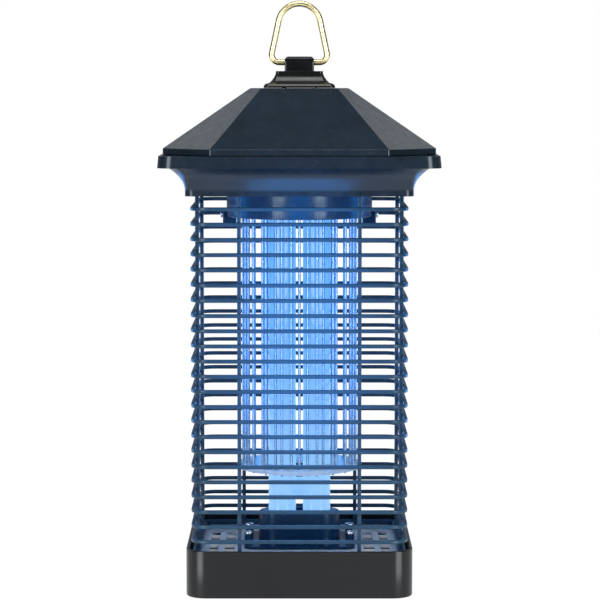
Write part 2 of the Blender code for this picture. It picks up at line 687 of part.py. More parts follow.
collection_tray()
floor_grate()
lamp_pedestal()
pedestal_screws()
guard()
guard_screws()
head_cornice()
cord_gland()
roof_cover()
roof_screws()
finial()
finial_screws()
hanging_ring()
lamp_hood()
grid_hangers()
grid_insulator("grid_upper_insulator", 0.0366, PLATE_LOW, PLATE_HIGH, INNER, True)
grid_insulator("grid_lower_ring", LOWER_RING_RADIUS, LOWER_RING_Z, LOWER_RING_Z + 0.0025, INSULATOR, False)
grid_pole("live_grid", LIVE_RADIUS, LIVE_RADIUS, 1, 0.2248)
grid_pole("return_grid", RETURN_RADIUS + 0.0007, RETURN_RADIUS, 0, 0.2213)
lamp()
lamp_socket()
circuit_board()
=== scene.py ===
import json
import math
import bmesh
import bpy
from mathutils import Matrix, Vector


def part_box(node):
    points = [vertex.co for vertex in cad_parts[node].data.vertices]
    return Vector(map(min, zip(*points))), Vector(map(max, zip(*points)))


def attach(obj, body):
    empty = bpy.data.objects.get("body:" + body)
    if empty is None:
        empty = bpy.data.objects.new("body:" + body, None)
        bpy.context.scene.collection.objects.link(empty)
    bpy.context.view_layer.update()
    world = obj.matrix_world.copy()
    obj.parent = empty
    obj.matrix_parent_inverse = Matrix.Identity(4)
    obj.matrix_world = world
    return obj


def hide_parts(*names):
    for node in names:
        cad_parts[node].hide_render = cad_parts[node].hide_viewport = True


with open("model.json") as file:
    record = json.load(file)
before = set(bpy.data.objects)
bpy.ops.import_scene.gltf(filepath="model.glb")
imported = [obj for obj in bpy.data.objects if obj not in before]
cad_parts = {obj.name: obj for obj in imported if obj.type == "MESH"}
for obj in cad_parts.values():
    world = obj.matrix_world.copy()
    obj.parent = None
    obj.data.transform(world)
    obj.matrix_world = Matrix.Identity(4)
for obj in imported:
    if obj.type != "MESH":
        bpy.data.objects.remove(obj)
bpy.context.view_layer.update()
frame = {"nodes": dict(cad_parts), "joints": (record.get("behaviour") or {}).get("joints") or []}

# Studio: a long lens a little above the roof's eave looks slightly down on the lantern.
# The floor is a pale sheet, with soft boxes on both sides, one overhead and a white surround.
camera_data = bpy.data.cameras.new("studio_camera")
camera_data.lens = 147.89
camera_data.clip_end = 20.0
studio_camera = bpy.data.objects.new("studio_camera", camera_data)
studio_camera.location = (0.00035, -1.4506, 0.29694)
studio_camera.rotation_euler = (math.radians(84.819), 0.0, 0.0)
bpy.context.scene.collection.objects.link(studio_camera)
bpy.context.scene.camera = studio_camera
bpy.context.scene.view_settings.view_transform = "Standard"

surround = bpy.data.worlds.new("white_surround")
surround.use_nodes = True
surround_nodes = surround.node_tree.nodes
surround_links = surround.node_tree.links
backdrop = surround_nodes["Background"]
backdrop.inputs["Color"].default_value = (1.0, 1.0, 1.0, 1.0)
backdrop.inputs["Strength"].default_value = 1.0
room = surround_nodes.new("ShaderNodeBackground")
room.inputs["Color"].default_value = (0.80, 0.90, 1.0, 1.0)
heading = surround_nodes.new("ShaderNodeTexCoord")
heading_parts = surround_nodes.new("ShaderNodeSeparateXYZ")
towards_back = surround_nodes.new("ShaderNodeMapRange")
towards_back.inputs["From Min"].default_value = 0.05
towards_back.inputs["From Max"].default_value = 0.60
towards_back.inputs["To Min"].default_value = 0.09
towards_back.inputs["To Max"].default_value = 0.28
seen_by = surround_nodes.new("ShaderNodeLightPath")
surround_mix = surround_nodes.new("ShaderNodeMixShader")
surround_links.new(heading.outputs["Generated"], heading_parts.inputs["Vector"])
surround_links.new(heading_parts.outputs["Y"], towards_back.inputs["Value"])
surround_links.new(towards_back.outputs["Result"], room.inputs["Strength"])
surround_links.new(seen_by.outputs["Is Camera Ray"], surround_mix.inputs["Fac"])
surround_links.new(room.outputs["Background"], surround_mix.inputs[1])
surround_links.new(backdrop.outputs["Background"], surround_mix.inputs[2])
surround_links.new(surround_mix.outputs["Shader"], surround_nodes["World Output"].inputs["Surface"])
bpy.context.scene.world = surround


def soft_box(name, place, target, width, height, power, colour=(1.0, 1.0, 1.0)):
    """Rectangular studio light turned to face a point on the lantern."""
    light = bpy.data.lights.new(name, "AREA")
    light.color = colour
    light.shape = "RECTANGLE"
    light.size = width
    light.size_y = height
    light.energy = power
    box = bpy.data.objects.new(name, light)
    box.location = place
    box.rotation_euler = (Vector(target) - Vector(place)).to_track_quat("-Z", "Y").to_euler()
    box.visible_camera = False
    bpy.context.scene.collection.objects.link(box)
    return box


for side in (-1, 1):
    soft_box("front_soft_box", (side * 0.74, -1.10, 0.45), (0.0, 0.0, 0.20), 0.50, 1.10, 15.0)
    soft_box("rear_soft_box", (side * 0.62, 0.88, 1.25), (0.0, 0.0, 0.27), 0.55, 0.55, 0.8)
    low_target = (side * 0.058, -0.058, 0.014)
    soft_box("low_soft_box", (side * 0.088, -0.104, 0.0125), low_target, 0.030, 0.022, 0.012)
soft_box("top_soft_box", (0.0, -0.37, 1.43), (0.0, 0.0, 0.29), 1.00, 0.36, 9.0)

bpy.ops.object.select_all(action="DESELECT")
bpy.ops.mesh.primitive_plane_add(size=3.0, location=(0.0, 0.0, -0.0004))
studio_floor = bpy.context.object
studio_floor.name = "studio_floor"
floor_sheet = bpy.data.materials.new("pale_floor_sheet")
floor_sheet.use_nodes = True
floor_shader = floor_sheet.node_tree.nodes["Principled BSDF"]
floor_shader.inputs["Base Color"].default_value = (0.12, 0.12, 0.12, 1.0)
floor_shader.inputs["Roughness"].default_value = 0.75
floor_shader.inputs["Emission Color"].default_value = (1.0, 1.0, 1.0, 1.0)
floor_shader.inputs["Emission Strength"].default_value = 0.95
studio_floor.data.materials.append(floor_sheet)


# Lamp glow: a blue panel before each face of the guard gives back the lamp's own light,
# so that the bars, wires, hood, cup and the underside of the head are tinted as beside a lit lamp.
GLOW_REACH = 0.115
GLOW_Z = 0.150
for quarter in range(4):
    turn = quarter * math.pi / 2
    panel_place = (GLOW_REACH * math.sin(turn), GLOW_REACH * math.cos(turn), GLOW_Z)
    soft_box("lamp_glow", panel_place, (0.0, 0.0, GLOW_Z), 0.060, 0.150, 0.15, (0.04, 0.34, 1.0))


# Collection tray: an injection-moulded square dish with round corners, a softened foot and a thin rim.
# It pushes up under the guard and slides straight down to be emptied; four inner ribs carry the grate.
def close_edit():
    """Leave edit mode, if a piece is still open in it."""
    if bpy.context.mode != "OBJECT":
        bpy.ops.object.mode_set(mode="OBJECT")


def add_block(name, half_x, half_y, low, high, centre=(0.0, 0.0)):
    """Add a plain block between two heights and open it in edit mode."""
    close_edit()
    bpy.ops.object.select_all(action="DESELECT")
    middle = (centre[0], centre[1], (low + high) / 2)
    bpy.ops.mesh.primitive_cube_add(size=2.0, location=middle, scale=(half_x, half_y, (high - low) / 2))
    bpy.ops.object.transform_apply(location=True, rotation=True, scale=True)
    block = bpy.context.object
    block.name = name
    block.data.name = name
    bpy.ops.object.mode_set(mode="EDIT")
    return block


def select_where(test, kind):
    """In edit mode, select only the faces, edges or vertices whose corner points pass a test."""
    bpy.ops.mesh.select_mode(type=kind)
    bpy.ops.mesh.select_all(action="DESELECT")
    shape = bmesh.from_edit_mesh(bpy.context.object.data)
    parts = {"VERT": shape.verts, "EDGE": shape.edges, "FACE": shape.faces}[kind]
    for part in parts:
        points = [part.co] if kind == "VERT" else [corner.co for corner in part.verts]
        if test(points):
            part.select_set(True)
    bmesh.update_edit_mesh(bpy.context.object.data)


def standing(points):
    """An edge that runs straight up."""
    return (points[0] - points[1]).to_2d().length < 1e-6


def at_height(z):
    """A test for parts that lie level at one height."""
    return lambda points: all(abs(point.z - z) < 2e-6 for point in points)


def round_corners(radius, steps):
    """Round the standing edges of a block in edit mode."""
    select_where(standing, "EDGE")
    bpy.ops.mesh.bevel(offset=radius, segments=steps, affect="EDGES", clamp_overlap=False)


def extrude(lift, scale=1.0):
    """Draw the selected faces up or down, and widen or narrow them about the lantern's centre line."""
    bpy.ops.mesh.extrude_region_move(TRANSFORM_OT_translate={"value": (0.0, 0.0, lift)})
    if scale != 1.0:
        bpy.ops.transform.resize(value=(scale, scale, 1.0), center_override=(0.0, 0.0, 0.0))


def apply_modifiers(piece):
    close_edit()
    bpy.ops.object.select_all(action="DESELECT")
    bpy.context.view_layer.objects.active = piece
    piece.select_set(True)
    for modifier in list(piece.modifiers):
        bpy.ops.object.modifier_apply(modifier=modifier.name)


def with_tool(piece, tool, operation):
    """Cut a piece with another shape, or weld that shape on, and take the shape away."""
    close_edit()
    step = piece.modifiers.new("tool", "BOOLEAN")
    step.operation = operation
    step.solver = "EXACT"
    step.object = tool
    apply_modifiers(piece)
    bpy.data.objects.remove(tool, do_unlink=True)


def soften(piece, width, steps=2, angle=32.0):
    """Break every sharp edge as a mould does, then shade it so that the flats stay flat."""
    apply_modifiers(piece)
    if width:
        edge = piece.modifiers.new("edge", "BEVEL")
        edge.width = width
        edge.segments = steps
        edge.limit_method = "ANGLE"
        edge.angle_limit = math.radians(angle)
        edge.use_clamp_overlap = True
        apply_modifiers(piece)
    bpy.ops.object.shade_smooth_by_angle(angle=math.radians(38.0))
    flats = piece.modifiers.new("flats", "WEIGHTED_NORMAL")
    flats.keep_sharp = True
    apply_modifiers(piece)


def fit(piece, finish, body, slot, *stands_for):
    """Give a finished piece its material, and fix it to the body that it moves with."""
    piece.data.materials.clear()
    piece.data.materials.append(finish)
    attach(piece, body)
    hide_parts(*stands_for)


def moulded_plastic(name, deep, pale, gloss, grain=0.10, specular=0.40, painted_reflection_tint=(1.0, 1.0, 1.0)):
    """Moulded plastic: faintly cloudy colour, fine tool grain, handling marks that dull the gloss, and a
    reflection tint that paints coloured light into its highlights.
    """
    finish = bpy.data.materials.new(name)
    finish.use_nodes = True
    nodes = finish.node_tree.nodes
    links = finish.node_tree.links
    shader = nodes["Principled BSDF"]
    shader.inputs["Specular IOR Level"].default_value = specular
    # Specular tint: any colour other than white paints coloured lamp light into every reflection on the
    # plastic.
    shader.inputs["Specular Tint"].default_value = (*painted_reflection_tint, 1.0)
    place = nodes.new("ShaderNodeTexCoord")
    cloud = nodes.new("ShaderNodeTexNoise")
    cloud.inputs["Scale"].default_value = 34.0
    cloud.inputs["Detail"].default_value = 5.0
    cloud.inputs["Roughness"].default_value = 0.62
    colour = nodes.new("ShaderNodeValToRGB")
    colour.color_ramp.elements[0].position = 0.32
    colour.color_ramp.elements[0].color = (*deep, 1.0)
    colour.color_ramp.elements[1].position = 0.70
    colour.color_ramp.elements[1].color = (*pale, 1.0)
    marks = nodes.new("ShaderNodeTexNoise")
    marks.inputs["Scale"].default_value = 190.0
    marks.inputs["Detail"].default_value = 7.0
    marks.inputs["Roughness"].default_value = 0.70
    dull = nodes.new("ShaderNodeMapRange")
    dull.inputs["From Min"].default_value = 0.30
    dull.inputs["From Max"].default_value = 0.72
    dull.inputs["To Min"].default_value = gloss - 0.05
    dull.inputs["To Max"].default_value = gloss + 0.09
    texture = nodes.new("ShaderNodeTexNoise")
    texture.inputs["Scale"].default_value = 2200.0
    texture.inputs["Detail"].default_value = 3.0
    relief = nodes.new("ShaderNodeBump")
    relief.inputs["Strength"].default_value = grain
    relief.inputs["Distance"].default_value = 0.00008
    for noise in (cloud, marks, texture):
        links.new(place.outputs["Object"], noise.inputs["Vector"])
    links.new(cloud.outputs["Fac"], colour.inputs["Fac"])
    links.new(colour.outputs["Color"], shader.inputs["Base Color"])
    links.new(marks.outputs["Fac"], dull.inputs["Value"])
    links.new(dull.outputs["Result"], shader.inputs["Roughness"])
    links.new(texture.outputs["Fac"], relief.inputs["Height"])
    links.new(relief.outputs["Normal"], shader.inputs["Normal"])
    return finish


charcoal = moulded_plastic("charcoal_housing", (0.0030, 0.0033, 0.0038), (0.0052, 0.0057, 0.0064),
                           0.20, 0.08, 0.30)

tray_low, tray_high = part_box("collection_tray")
TRAY_CORNER = 0.0120
TRAY_WALL = 0.0018
TRAY_FLOOR = 0.0020
TRAY_FOOT = 0.0009
RIB_TOP = 0.0182
QUARTERS = ((1, 1), (-1, 1), (-1, -1), (1, -1))
collection_tray = add_block("tray_dish", tray_high.x, tray_high.y, tray_low.z, tray_high.z)
round_corners(TRAY_CORNER, 12)
select_where(at_height(tray_high.z), "FACE")
bpy.ops.mesh.inset(thickness=TRAY_WALL)
extrude(TRAY_FLOOR - tray_high.z)
select_where(at_height(tray_low.z), "EDGE")
bpy.ops.mesh.bevel(offset=TRAY_FOOT, segments=4, affect="EDGES", clamp_overlap=False)
select_where(at_height(TRAY_FLOOR), "EDGE")
bpy.ops.mesh.bevel(offset=0.0014, segments=3, affect="EDGES", clamp_overlap=False)
for rib_x, rib_y in QUARTERS:
    rib = add_block("tray_rib", 0.00225, 0.0015, 0.0010, RIB_TOP, (rib_x * 0.0615, rib_y * 0.0220))
    with_tool(collection_tray, rib, "UNION")
soften(collection_tray, 0.0004)
fit(collection_tray, charcoal, "collection_tray", "housing", "collection_tray")


# Floor grate: a grey moulded plate that lies on the tray's ribs under the guard.
# Two rings of slots, bridged by thin cross ribs, let the dead insects fall through.
def slot_ring(outer, inner, low, high):
    """Frame-shaped cutter between two rounded rectangles given as (half x, half y, corner)."""
    ring = add_block("slot_ring", outer[0], outer[1], low, high)
    round_corners(outer[2], 8)
    core = add_block("slot_core", inner[0], inner[1], low - 0.001, high + 0.001)
    round_corners(inner[2], 8)
    with_tool(ring, core, "DIFFERENCE")
    return ring


grate_plastic = moulded_plastic("grey_grate", (0.48, 0.47, 0.45), (0.62, 0.60, 0.57), 0.34, 0.16)

grate_low, grate_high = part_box("floor_grate")
floor_grate = add_block("drop_grate", grate_high.x, grate_high.y, grate_low.z, grate_high.z)
round_corners(0.0096, 8)
cut_low = grate_low.z - 0.001
cut_high = grate_high.z + 0.001
OUTER_SLOTS = ((0.0532, 0.0435, 0.0140), (0.0478, 0.0385, 0.0100))
INNER_SLOTS = ((0.0442, 0.0345, 0.0070), (0.0380, 0.0290, 0.0050))
CROSS_RIB = 0.0008
for slots in (OUTER_SLOTS, INNER_SLOTS):
    slot_cutter = slot_ring(slots[0], slots[1], cut_low, cut_high)
    for rib_y in (-0.0223, -0.0073, 0.0073, 0.0223):
        cross_rib = add_block("cross_rib", 0.065, CROSS_RIB, cut_low - 0.002, cut_high + 0.002, (0.0, rib_y))
        with_tool(slot_cutter, cross_rib, "DIFFERENCE")
    for rib_x in (-0.0150, 0.0150):
        cross_rib = add_block("cross_rib", CROSS_RIB, 0.065, cut_low - 0.002, cut_high + 0.002, (rib_x, 0.0))
        with_tool(slot_cutter, cross_rib, "DIFFERENCE")
    with_tool(floor_grate, slot_cutter, "DIFFERENCE")
soften(floor_grate, 0.00025)
fit(floor_grate, grate_plastic, "lantern", "grate", "floor_grate")


# Lamp cup: a round-ended moulding with a flange that is screwed down over the foot of the lamp.
# Four screw sleeves stand on the flange, and the two tubes drop through one long mouth in its top.
def add_rod(name, radius, low, high, sides=32, centre=(0.0, 0.0)):
    """Add an upright round bar between two heights and open it in edit mode."""
    close_edit()
    bpy.ops.object.select_all(action="DESELECT")
    middle = (centre[0], centre[1], (low + high) / 2)
    bpy.ops.mesh.primitive_cylinder_add(vertices=sides, radius=radius, depth=high - low, location=middle)
    bpy.ops.object.transform_apply(location=True, rotation=True, scale=True)
    rod = bpy.context.object
    rod.name = name
    rod.data.name = name
    bpy.ops.object.mode_set(mode="EDIT")
    return rod


# Near-black moulding of the cup, clips and upper plate; its blue cast and the blue tint on its reflections
# are painted lamp glow.
dark_plastic = moulded_plastic("dark_inner_plastic", (0.0015, 0.0130, 0.0400), (0.0035, 0.0210, 0.0580),
                               0.24, 0.08, 0.40, (0.50, 0.80, 1.0))

cup_low, cup_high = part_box("lamp_pedestal")
CUP_HALF = 0.0240
CUP_DEPTH = 0.0120
CUP_CORNER = 0.0112
CUP_WALL = 0.0020
FLANGE_TOP = cup_low.z + 0.0018
lamp_cup = add_block("lamp_cup", CUP_HALF, CUP_DEPTH, cup_low.z, cup_high.z)
round_corners(CUP_CORNER, 12)
select_where(at_height(cup_high.z), "EDGE")
bpy.ops.mesh.bevel(offset=0.0014, segments=4, affect="EDGES", clamp_overlap=False)
cup_flange = add_block("cup_flange", cup_high.x, cup_high.y, cup_low.z, FLANGE_TOP)
round_corners(0.0060, 8)
with_tool(lamp_cup, cup_flange, "UNION")
SLEEVE_TOP = 0.0279
SLEEVES = [(x * 0.0300, y * 0.0134) for x, y in QUARTERS]
for sleeve_x, sleeve_y in SLEEVES:
    inset = 0.0001 if sleeve_x > 0 else -0.0001
    sleeve = add_rod("sleeve", 0.0024, FLANGE_TOP - 0.0006, SLEEVE_TOP, 24, (sleeve_x - inset, sleeve_y))
    with_tool(lamp_cup, sleeve, "UNION")
    bore = add_rod("sleeve_bore", 0.0017, cup_low.z - 0.001, SLEEVE_TOP + 0.001, 16, (sleeve_x, sleeve_y))
    with_tool(lamp_cup, bore, "DIFFERENCE")
hollow = add_block("cup_hollow", CUP_HALF - CUP_WALL, CUP_DEPTH - CUP_WALL, cup_low.z - 0.001,
                   cup_high.z - CUP_WALL)
round_corners(CUP_CORNER - CUP_WALL, 8)
with_tool(lamp_cup, hollow, "DIFFERENCE")
mouth = add_block("cup_mouth", 0.0190, 0.0088, cup_high.z - 0.006, cup_high.z + 0.002)
round_corners(0.0086, 10)
with_tool(lamp_cup, mouth, "DIFFERENCE")
soften(lamp_cup, 0.0003)
fit(lamp_cup, dark_plastic, "lantern", "inner_plastic", "lamp_pedestal")


# Cup screws: plated pan-head screws with a cross recess, one down each sleeve of the cup.
# They are turned from wire, so the heads keep fine lathe rings.
def worked_metal(name, colour, gloss, stretch, relief_strength=0.20):
    """Bare or plated metal with fine drawing or turning lines along one direction, and dull spots."""
    finish = bpy.data.materials.new(name)
    finish.use_nodes = True
    nodes = finish.node_tree.nodes
    links = finish.node_tree.links
    shader = nodes["Principled BSDF"]
    shader.inputs["Metallic"].default_value = 1.0
    place = nodes.new("ShaderNodeTexCoord")
    direction = nodes.new("ShaderNodeMapping")
    direction.inputs["Scale"].default_value = stretch
    lines = nodes.new("ShaderNodeTexNoise")
    lines.inputs["Scale"].default_value = 1.0
    lines.inputs["Detail"].default_value = 4.0
    tone = nodes.new("ShaderNodeValToRGB")
    tone.color_ramp.elements[0].position = 0.25
    tone.color_ramp.elements[0].color = (*[part * 0.82 for part in colour], 1.0)
    tone.color_ramp.elements[1].position = 0.75
    tone.color_ramp.elements[1].color = (*colour, 1.0)
    spots = nodes.new("ShaderNodeTexNoise")
    spots.inputs["Scale"].default_value = 420.0
    spots.inputs["Detail"].default_value = 5.0
    dull = nodes.new("ShaderNodeMapRange")
    dull.inputs["From Min"].default_value = 0.35
    dull.inputs["From Max"].default_value = 0.70
    dull.inputs["To Min"].default_value = gloss
    dull.inputs["To Max"].default_value = gloss + 0.14
    relief = nodes.new("ShaderNodeBump")
    relief.inputs["Strength"].default_value = relief_strength
    relief.inputs["Distance"].default_value = 0.00003
    links.new(place.outputs["Object"], direction.inputs["Vector"])
    links.new(direction.outputs["Vector"], lines.inputs["Vector"])
    links.new(place.outputs["Object"], spots.inputs["Vector"])
    links.new(lines.outputs["Fac"], tone.inputs["Fac"])
    links.new(tone.outputs["Color"], shader.inputs["Base Color"])
    links.new(spots.outputs["Fac"], dull.inputs["Value"])
    links.new(dull.outputs["Result"], shader.inputs["Roughness"])
    links.new(lines.outputs["Fac"], relief.inputs["Height"])
    links.new(relief.outputs["Normal"], shader.inputs["Normal"])
    return finish


def pan_screw(name, shank, head, foot, seat, top):
    """Upright screw: round shank, domed head and a cross recess."""
    screw = add_rod(name, head, seat, top, 32)
    select_where(at_height(top), "FACE")
    bpy.ops.mesh.bevel(offset=(top - seat) * 0.55, segments=4, affect="EDGES")
    shaft = add_rod("shaft", shank, foot, seat + 0.0002, 16)
    with_tool(screw, shaft, "UNION")
    arm = head * 0.62
    slit = head * 0.15
    depth = (top - seat) * 0.6
    for half_x, half_y in ((arm, slit), (slit, arm)):
        recess = add_block("recess", half_x, half_y, top - depth, top + 0.001)
        with_tool(screw, recess, "DIFFERENCE")
    soften(screw, 0.00006)
    return screw


def copy_of(piece, name):
    """A copy with its own mesh."""
    twin = piece.copy()
    twin.data = piece.data.copy()
    twin.name = name
    twin.data.name = name
    bpy.context.scene.collection.objects.link(twin)
    return twin


plated_steel = worked_metal("plated_steel", (0.74, 0.75, 0.77), 0.20, (900.0, 900.0, 5200.0))

screw_low, screw_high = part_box("pedestal_screw_1")
HEAD_DEPTH = 0.0015
cup_screw = pan_screw("cup_screw", 0.0014, 0.0027, screw_low.z, screw_high.z - HEAD_DEPTH, screw_high.z)
for number, (sleeve_x, sleeve_y) in enumerate(SLEEVES, 1):
    screw = copy_of(cup_screw, f"cup_screw_{number}")
    screw.data.transform(Matrix.Rotation(0.5 * number, 4, "Z"))
    screw.data.transform(Matrix.Translation((sleeve_x, sleeve_y, 0.0)))
    fit(screw, plated_steel, "lantern", "screw", f"pedestal_screw_{number}")
bpy.data.objects.remove(cup_screw, do_unlink=True)


# Guard: a square cage of thin moulded bars with round corners, between a foot rail and a head rail.
# The bars are one moulding with two uprights inside each face; it is screwed up from under the grate.
def guard_hoop(name, half, corner, depth, low, high):
    """Square hoop with round corners: an open band with a wall inside it."""
    hoop = add_block(name, half, half, low, high)
    round_corners(corner, 8)
    select_where(at_height(low), "FACE")
    bpy.ops.mesh.delete(type="FACE")
    select_where(at_height(high), "FACE")
    bpy.ops.mesh.delete(type="FACE")
    close_edit()
    wall = hoop.modifiers.new("wall", "SOLIDIFY")
    wall.thickness = depth
    wall.offset = -1.0
    wall.use_even_offset = True
    apply_modifiers(hoop)
    return hoop


def joined(name, pieces):
    """Make several shapes one object."""
    bpy.ops.object.select_all(action="DESELECT")
    for piece in pieces:
        piece.select_set(True)
    bpy.context.view_layer.objects.active = pieces[0]
    bpy.ops.object.join()
    whole = bpy.context.object
    whole.name = name
    whole.data.name = name
    return whole


# The teal-grey is the bars' own colour; the blue tint on their reflections is painted lamp light.
guard_plastic = moulded_plastic("guard_bars", (0.0040, 0.0230, 0.0470), (0.0070, 0.0340, 0.0680),
                                0.32, 0.08, 0.38, (0.84, 0.96, 1.0))

front_low, front_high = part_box("guard_front")
GUARD_HALF = -front_low.y
GUARD_CORNER = 0.0100
BAR = 0.0022
BAR_DEPTH = 0.0024
BAR_COUNT = 23
BAR_LOWEST = 0.0320
BAR_PITCH = 0.00865
RAIL = 0.0028
UPRIGHT_X = 0.0342
bar_hoop = guard_hoop("bar_hoop", GUARD_HALF, GUARD_CORNER, BAR_DEPTH, -BAR / 2, BAR / 2)
soften(bar_hoop, 0.0005, 3)
hoops = []
for number in range(BAR_COUNT):
    hoop = copy_of(bar_hoop, f"bar_{number}")
    hoop.data.transform(Matrix.Translation((0.0, 0.0, BAR_LOWEST + BAR_PITCH * number)))
    hoops.append(hoop)
bpy.data.objects.remove(bar_hoop, do_unlink=True)
foot_rail = guard_hoop("foot_rail", GUARD_HALF, GUARD_CORNER, 0.0050, front_low.z, front_low.z + RAIL)
soften(foot_rail, 0.0004)
head_rail = guard_hoop("head_rail", GUARD_HALF, GUARD_CORNER, 0.0046, front_high.z - RAIL, front_high.z)
soften(head_rail, 0.0004)
uprights = []
for side in (-1, 1):
    upright = add_block("upright", BAR / 2, 0.00115, front_low.z + 0.0005, front_high.z - 0.0005,
                        (side * UPRIGHT_X, 0.0031 - GUARD_HALF))
    soften(upright, 0.0004)
    for quarter in range(4):
        turned = copy_of(upright, "upright_turned")
        turned.data.transform(Matrix.Rotation(quarter * math.pi / 2, 4, "Z"))
        uprights.append(turned)
    bpy.data.objects.remove(upright, do_unlink=True)
guard_cage = joined("guard_cage", [foot_rail, head_rail] + hoops + uprights)
fit(guard_cage, guard_plastic, "lantern", "guard", "guard_front", "guard_right", "guard_rear", "guard_left")


# Head: one square moulding with a band round the guard, a hollow cove, and a flat projecting rim.
# Its floor carries the lamp socket and the circuit board, and has a long opening for the lamp's cap.
# The blue-black is the moulding's own colour; the blue tint on its reflections is painted lamp light.
head_plastic = moulded_plastic("blue_black_head", (0.0052, 0.0100, 0.0165), (0.0088, 0.0165, 0.0260),
                               0.22, 0.08, 0.40, (0.86, 0.93, 1.0))

band_low, band_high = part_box("head_cornice")
BAND_HALF = 0.0646
COVE_LOW = 0.2320
RIM_LOW = 0.2459
COVE_REACH = 0.0090
COVE_STEPS = 14
HEAD_FLOOR = 0.2365
HEAD_FLOOR_UNDER = HEAD_FLOOR - 0.0025
RIM_TAPER = 0.9925
ROOM_LEDGE = 0.2400
GLAND_Z = 0.2412
ROOF_SCREW = 0.0480
head_moulding = add_block("head_moulding", BAND_HALF, BAND_HALF, band_low.z, COVE_LOW)
round_corners(0.0050, 10)
select_where(at_height(COVE_LOW), "FACE")
half_now = BAND_HALF
for step in range(1, COVE_STEPS + 1):
    share = step / COVE_STEPS
    half_next = BAND_HALF + COVE_REACH * share ** 2.2
    extrude((RIM_LOW - COVE_LOW) / COVE_STEPS, half_next / half_now)
    half_now = half_next
extrude(0.0020)
select_where(at_height(band_low.z), "FACE")
bpy.ops.mesh.inset(thickness=0.0020)
extrude(HEAD_FLOOR_UNDER - band_low.z)
head_rim = add_block("head_rim", band_high.x, band_high.y, RIM_LOW, band_high.z)
round_corners(0.0088, 14)
select_where(at_height(band_high.z), "FACE")
bpy.ops.transform.resize(value=(RIM_TAPER, RIM_TAPER, 1.0), center_override=(0.0, 0.0, 0.0))
with_tool(head_moulding, head_rim, "UNION")
head_room = add_block("head_room", 0.0630, 0.0630, HEAD_FLOOR, ROOM_LEDGE)
round_corners(0.0040, 6)
select_where(at_height(ROOM_LEDGE), "FACE")
extrude(0.0, 0.0642 / 0.0630)
extrude(0.0040, 0.0672 / 0.0642)
extrude(0.0040, 0.0702 / 0.0672)
extrude(0.0005, 0.0745 / 0.0702)
extrude(band_high.z - 0.0020 - ROOM_LEDGE - 0.0085)
with_tool(head_moulding, head_room, "DIFFERENCE")
head_lip = add_block("head_lip", 0.0655, 0.0655, band_high.z - 0.0040, band_high.z + 0.0020)
round_corners(0.0240, 12)
with_tool(head_moulding, head_lip, "DIFFERENCE")
opening = add_block("lamp_opening", 0.0225, 0.0135, HEAD_FLOOR_UNDER - 0.001, HEAD_FLOOR + 0.001)
round_corners(0.0060, 6)
with_tool(head_moulding, opening, "DIFFERENCE")
gland_hole = add_rod("gland_hole", 0.0035, -0.0100, 0.0100, 32)
close_edit()
gland_hole.data.transform(Matrix.Translation((0.0, 0.0690, GLAND_Z)) @ Matrix.Rotation(math.pi / 2, 4, "X"))
with_tool(head_moulding, gland_hole, "DIFFERENCE")
for side_x, side_y in QUARTERS:
    spot = (side_x * 0.0370, side_y * 0.0280)
    standoff = add_rod("standoff", 0.0032, HEAD_FLOOR - 0.0010, 0.2469, 20, spot)
    with_tool(head_moulding, standoff, "UNION")
    spot = (side_x * ROOF_SCREW, side_y * ROOF_SCREW)
    hole = add_rod("roof_screw_hole", 0.0018, HEAD_FLOOR_UNDER - 0.001, HEAD_FLOOR + 0.001, 16, spot)
    with_tool(head_moulding, hole, "DIFFERENCE")
soften(head_moulding, 0.00030, 2, 34.0)
fit(head_moulding, head_plastic, "lantern", "housing", "head_cornice")


# Cord gland: a black rubber bush pressed through the back of the head, where the supply cord goes in.
# It has a flange on each side of the wall and a bore for the cord.
black_rubber = moulded_plastic("black_rubber", (0.006, 0.006, 0.006), (0.012, 0.012, 0.012), 0.62, 0.35, 0.25)

GLAND_PROFILE = ((0.0018, 0.0598), (0.0036, 0.0598), (0.0039, 0.0622), (0.0032, 0.0622), (0.0032, 0.0731),
                 (0.0044, 0.0731), (0.0044, 0.0753), (0.0040, 0.0757), (0.0018, 0.0757))
bpy.ops.object.select_all(action="DESELECT")
bpy.ops.mesh.primitive_circle_add(vertices=len(GLAND_PROFILE), radius=0.001)
gland_bush = bpy.context.object
gland_bush.name = "gland_bush"
for corner, (radius, depth) in zip(gland_bush.data.vertices, GLAND_PROFILE):
    corner.co = (radius, depth, 0.0)
bpy.ops.object.mode_set(mode="EDIT")
bpy.ops.mesh.select_all(action="SELECT")
bpy.ops.mesh.spin(steps=40, angle=2 * math.pi, center=(0.0, 0.0, 0.0), axis=(0.0, 1.0, 0.0))
bpy.ops.mesh.select_all(action="SELECT")
bpy.ops.mesh.remove_doubles(threshold=0.00001)
bpy.ops.mesh.normals_make_consistent(inside=False)
close_edit()
gland_bush.data.transform(Matrix.Translation((0.0, 0.0, GLAND_Z)))
soften(gland_bush, 0.0002)
fit(gland_bush, black_rubber, "lantern", "rubber", "cord_gland")


# Roof: a hollow moulded cover with four broad slopes, four corner slopes and an upright eave.
# It drops over the head's lip and is pulled down by four long screws in its inner bosses.
def eight_sided(name, half, face, low, high):
    """Square block with its corners cut off; face is half the width that is left on each side."""
    block = add_block(name, half, half, low, high)
    round_corners(half - face, 1)
    return block


def narrow_top(z, half_from, face_from, half_to, face_to):
    """Draw the eight corners at one height in to a smaller square with its own corner cut."""
    level = at_height(z)
    select_where(level, "VERT")
    scale = half_to / half_from
    bpy.ops.transform.resize(value=(scale, scale, 1.0), center_override=(0.0, 0.0, 0.0))
    spread = face_to / (face_from * scale)
    select_where(lambda points: level(points) and abs(points[0].x) > abs(points[0].y), "VERT")
    bpy.ops.transform.resize(value=(1.0, spread, 1.0), center_override=(0.0, 0.0, 0.0))
    select_where(lambda points: level(points) and abs(points[0].y) > half_to - 1e-5, "VERT")
    bpy.ops.transform.resize(value=(spread, 1.0, 1.0), center_override=(0.0, 0.0, 0.0))


